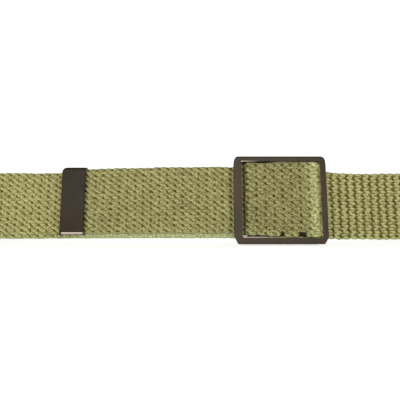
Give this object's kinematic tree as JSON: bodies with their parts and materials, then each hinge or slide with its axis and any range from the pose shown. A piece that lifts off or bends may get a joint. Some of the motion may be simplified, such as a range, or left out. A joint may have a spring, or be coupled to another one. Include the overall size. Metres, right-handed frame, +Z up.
{
  "type": "canvas web belt",
  "caption": "Flat woven web belt closed into a loop through an open frame buckle with a sliding bar, with a metal tip on its free end.",
  "frame": {"origin": "middle of the footprint of the standing loop", "axes": "+X along the belt's straight front towards the wearer's left, +Y from the buckle to the back of the loop, +Z up across the webbing's width"},
  "size_m": [0.395, 0.2268, 0.0423],
  "materials": {
    "canvas": "matt plain woven cotton webbing, khaki green, with lighter smooth edges",
    "bronzed_metal": "dark brown bronzed, satin, with paler worn edges",
    "dark_metal": "dark brown, satin, a little glossier than the frame",
    "dark_steel": "darkened steel"
  },
  "bodies": {
    "root": {"webbing": "canvas", "buckle_frame": "bronzed_metal", "slide_bar": "dark_steel", "end_clamp": "bronzed_metal", "strap_tip": "dark_metal"}
  },
  "joints": []
}
